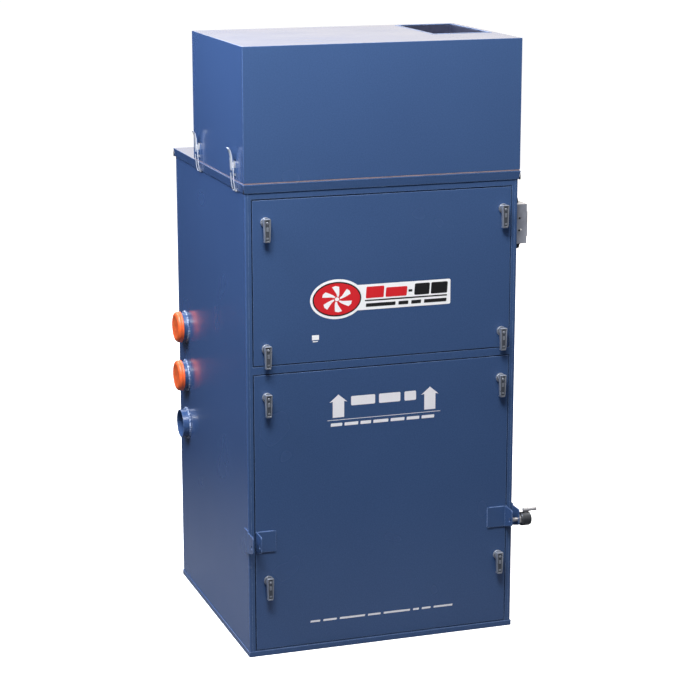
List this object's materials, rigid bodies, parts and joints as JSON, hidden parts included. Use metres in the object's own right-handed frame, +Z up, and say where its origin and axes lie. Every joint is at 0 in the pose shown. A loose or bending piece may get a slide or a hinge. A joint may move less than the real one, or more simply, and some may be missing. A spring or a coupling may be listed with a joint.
{
  "type": "dust collector cabinet",
  "caption": "Enclosed sheet-steel dust collector cabinet: blower hood on top, lift-off front doors with quarter-turn latches, side hose inlets, filter pockets and a dust drawer.",
  "frame": {"origin": "centre of the cabinet's base, on the floor", "axes": "+Z up, -Y to the front where the doors are, +X to the side with the switch box; the inlets are on the -X side"},
  "size_m": [0.7984, 0.7235, 1.536],
  "materials": {
    "blue_paint": "gloss blue enamel with fine orange peel",
    "zinc": "dull zinc-plated die casting",
    "chrome": "bright plated steel",
    "galvanised": "galvanised sheet steel",
    "orange_plastic": "soft gloss orange polyethylene",
    "black_plastic": "matte black",
    "foam_rubber": "closed-cell foam strip",
    "filter_cloth": "napped cotton sateen",
    "motor_paint": "dark grey machine paint"
  },
  "bodies": {
    "cabinet": {"base_pan": "blue_paint", "left_panel": "blue_paint", "right_panel": "blue_paint", "back_panel": "blue_paint", "door_frame": "blue_paint", "top_deck": "blue_paint", "hood_shell": "blue_paint", "hood_gasket": "foam_rubber", "inlet_collar_top": "blue_paint", "inlet_collar_middle": "blue_paint", "inlet_collar_bottom": "blue_paint", "left_frame_ear": "blue_paint", "right_frame_ear": "blue_paint", "lock_nut": "zinc", "lock_barrel": "black_plastic", "switch_box": "galvanised", "switch_cover": "galvanised", "box_gland": "black_plastic", "motor_lead": "black_plastic", "filter_plate": "galvanised", "blower_housing": "galvanised", "fan_motor": "motor_paint"},
    "upper_door": {"upper_door": "blue_paint", "upper_door_gasket": "foam_rubber", "upper_door_latch_left_top_housing": "zinc", "upper_door_latch_left_foot_housing": "zinc", "upper_door_latch_right_top_housing": "zinc", "upper_door_latch_right_foot_housing": "zinc"},
    "lower_door": {"lower_door": "blue_paint", "lower_door_gasket": "foam_rubber", "lower_door_latch_left_top_housing": "zinc", "lower_door_latch_left_foot_housing": "zinc", "lower_door_latch_right_top_housing": "zinc", "lower_door_latch_right_foot_housing": "zinc", "left_door_ear": "blue_paint", "right_door_ear": "blue_paint"},
    "upper_door_latch_left_top": {"upper_door_latch_left_top_handle": "zinc"},
    "upper_door_latch_left_foot": {"upper_door_latch_left_foot_handle": "zinc"},
    "upper_door_latch_right_top": {"upper_door_latch_right_top_handle": "zinc"},
    "upper_door_latch_right_foot": {"upper_door_latch_right_foot_handle": "zinc"},
    "lower_door_latch_left_top": {"lower_door_latch_left_top_handle": "zinc"},
    "lower_door_latch_left_foot": {"lower_door_latch_left_foot_handle": "zinc"},
    "lower_door_latch_right_top": {"lower_door_latch_right_top_handle": "zinc"},
    "lower_door_latch_right_foot": {"lower_door_latch_right_foot_handle": "zinc"},
    "clip_left_front_lever": {"clip_left_front_lever": "chrome"},
    "clip_left_front_loop": {"clip_left_front_loop": "chrome"},
    "clip_left_rear_lever": {"clip_left_rear_lever": "chrome"},
    "clip_left_rear_loop": {"clip_left_rear_loop": "chrome"},
    "clip_right_front_lever": {"clip_right_front_lever": "chrome"},
    "clip_right_front_loop": {"clip_right_front_loop": "chrome"},
    "clip_right_rear_lever": {"clip_right_rear_lever": "chrome"},
    "clip_right_rear_loop": {"clip_right_rear_loop": "chrome"},
    "inlet_cap_top": {"inlet_cap_top": "orange_plastic"},
    "inlet_cap_middle": {"inlet_cap_middle": "orange_plastic"},
    "lock_bolt": {"lock_bolt": "zinc"},
    "switch_paddle": {"switch_paddle": "galvanised"},
    "filter": {"filter_pockets": "filter_cloth", "shaker_frame": "galvanised"},
    "dust_drawer": {"dust_drawer": "galvanised"},
    "fan": {"fan_wheel": "galvanised"}
  },
  "joints": [
    {"name": "upper_door_slide", "type": "slide", "parent": "cabinet", "child": "upper_door", "axis": [0, -1, 0], "range_m": [0, 0.3]},
    {"name": "lower_door_slide", "type": "slide", "parent": "cabinet", "child": "lower_door", "axis": [0, -1, 0], "range_m": [0, 0.3]},
    {"name": "upper_door_latch_left_top_turn", "type": "hinge", "parent": "upper_door", "child": "upper_door_latch_left_top", "pos_m": [-0.306, -0.3333, 1.113], "axis": [0, 1, 0], "range_deg": [0, 90]},
    {"name": "upper_door_latch_left_foot_turn", "type": "hinge", "parent": "upper_door", "child": "upper_door_latch_left_foot", "pos_m": [-0.306, -0.3333, 0.798], "axis": [0, 1, 0], "range_deg": [0, 90]},
    {"name": "upper_door_latch_right_top_turn", "type": "hinge", "parent": "upper_door", "child": "upper_door_latch_right_top", "pos_m": [0.316, -0.3333, 1.113], "axis": [0, -1, 0], "range_deg": [0, 90]},
    {"name": "upper_door_latch_right_foot_turn", "type": "hinge", "parent": "upper_door", "child": "upper_door_latch_right_foot", "pos_m": [0.316, -0.3333, 0.798], "axis": [0, -1, 0], "range_deg": [0, 90]},
    {"name": "lower_door_latch_left_top_turn", "type": "hinge", "parent": "lower_door", "child": "lower_door_latch_left_top", "pos_m": [-0.306, -0.3333, 0.6755], "axis": [0, 1, 0], "range_deg": [0, 90]},
    {"name": "lower_door_latch_left_foot_turn", "type": "hinge", "parent": "lower_door", "child": "lower_door_latch_left_foot", "pos_m": [-0.306, -0.3333, 0.2005], "axis": [0, 1, 0], "range_deg": [0, 90]},
    {"name": "lower_door_latch_right_top_turn", "type": "hinge", "parent": "lower_door", "child": "lower_door_latch_right_top", "pos_m": [0.316, -0.3333, 0.6755], "axis": [0, -1, 0], "range_deg": [0, 90]},
    {"name": "lower_door_latch_right_foot_turn", "type": "hinge", "parent": "lower_door", "child": "lower_door_latch_right_foot", "pos_m": [0.316, -0.3333, 0.2005], "axis": [0, -1, 0], "range_deg": [0, 90]},
    {"name": "clip_left_front_lever_swing", "type": "hinge", "parent": "cabinet", "child": "clip_left_front_lever", "pos_m": [-0.366, -0.262, 1.2346], "axis": [0, -1, 0], "range_deg": [0, 150]},
    {"name": "clip_left_front_loop_swing", "type": "hinge", "parent": "clip_left_front_lever", "child": "clip_left_front_loop", "pos_m": [-0.3665, -0.262, 1.2466], "axis": [0, -1, 0], "range_deg": [-150, 0]},
    {"name": "clip_left_rear_lever_swing", "type": "hinge", "parent": "cabinet", "child": "clip_left_rear_lever", "pos_m": [-0.366, 0.07, 1.2346], "axis": [0, -1, 0], "range_deg": [0, 150]},
    {"name": "clip_left_rear_loop_swing", "type": "hinge", "parent": "clip_left_rear_lever", "child": "clip_left_rear_loop", "pos_m": [-0.3665, 0.07, 1.2466], "axis": [0, -1, 0], "range_deg": [-150, 0]},
    {"name": "clip_right_front_lever_swing", "type": "hinge", "parent": "cabinet", "child": "clip_right_front_lever", "pos_m": [0.366, -0.262, 1.2346], "axis": [0, 1, 0], "range_deg": [0, 150]},
    {"name": "clip_right_front_loop_swing", "type": "hinge", "parent": "clip_right_front_lever", "child": "clip_right_front_loop", "pos_m": [0.3665, -0.262, 1.2466], "axis": [0, 1, 0], "range_deg": [-150, 0]},
    {"name": "clip_right_rear_lever_swing", "type": "hinge", "parent": "cabinet", "child": "clip_right_rear_lever", "pos_m": [0.366, 0.07, 1.2346], "axis": [0, 1, 0], "range_deg": [0, 150]},
    {"name": "clip_right_rear_loop_swing", "type": "hinge", "parent": "clip_right_rear_lever", "child": "clip_right_rear_loop", "pos_m": [0.3665, 0.07, 1.2466], "axis": [0, 1, 0], "range_deg": [-150, 0]},
    {"name": "inlet_cap_top_pull", "type": "slide", "parent": "cabinet", "child": "inlet_cap_top", "axis": [-1, 0, 0], "range_m": [0, 0.08]},
    {"name": "inlet_cap_middle_pull", "type": "slide", "parent": "cabinet", "child": "inlet_cap_middle", "axis": [-1, 0, 0], "range_m": [0, 0.08]},
    {"name": "lock_bolt_throw", "type": "slide", "parent": "cabinet", "child": "lock_bolt", "axis": [-1, 0, 0], "range_m": [0, 0.007]},
    {"name": "switch_paddle_rock", "type": "hinge", "parent": "cabinet", "child": "switch_paddle", "pos_m": [0.4104, -0.2516, 1.0841], "axis": [0, -1, 0], "range_deg": [-2, 10]},
    {"name": "filter_lift", "type": "slide", "parent": "cabinet", "child": "filter", "axis": [0, 0, 1], "range_m": [0, 0.02]},
    {"name": "dust_drawer_lift", "type": "slide", "parent": "cabinet", "child": "dust_drawer", "axis": [0, 0, 1], "range_m": [0, 0.05]},
    {"name": "fan_spin", "type": "hinge", "parent": "cabinet", "child": "fan", "pos_m": [0.3, -0.02925, 1.348], "axis": [1, 0, 0], "continuous": true}
  ],
  "couplings": [
    {"joint": "clip_left_front_loop_swing", "follows": "clip_left_front_lever_swing", "ratio": -1},
    {"joint": "clip_left_rear_loop_swing", "follows": "clip_left_rear_lever_swing", "ratio": -1},
    {"joint": "clip_right_front_loop_swing", "follows": "clip_right_front_lever_swing", "ratio": -1},
    {"joint": "clip_right_rear_loop_swing", "follows": "clip_right_rear_lever_swing", "ratio": -1}
  ]
}
